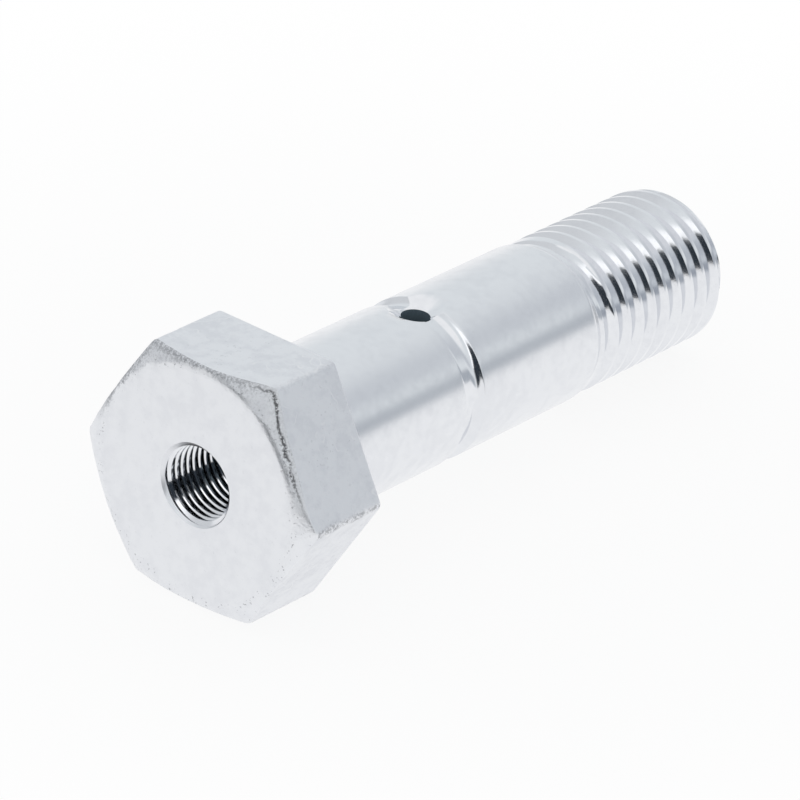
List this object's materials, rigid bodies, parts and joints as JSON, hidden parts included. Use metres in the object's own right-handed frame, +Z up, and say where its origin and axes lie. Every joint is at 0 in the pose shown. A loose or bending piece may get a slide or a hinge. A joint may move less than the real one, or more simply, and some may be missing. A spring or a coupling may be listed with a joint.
{
  "type": "greasable bolt",
  "caption": "Zinc-plated hex head bolt with a tapped hole in its head for a grease nipple, a grease groove with a countersunk cross hole round its plain shank, and a threaded end.",
  "frame": {"origin": "centre of the head's bearing face, on the bolt's axis", "axes": "+X along the bolt towards the thread's tip, which dips as the bolt lies on its head's edge and its thread; +Z up, the side of the cross hole"},
  "size_m": [0.0886, 0.034, 0.0302],
  "materials": {
    "zinc_plate": "bright zinc plate on steel, smooth on the shank and flats, gritty on the forged bevel of the head"
  },
  "bodies": {
    "root": {"bolt": "zinc_plate"}
  },
  "joints": []
}
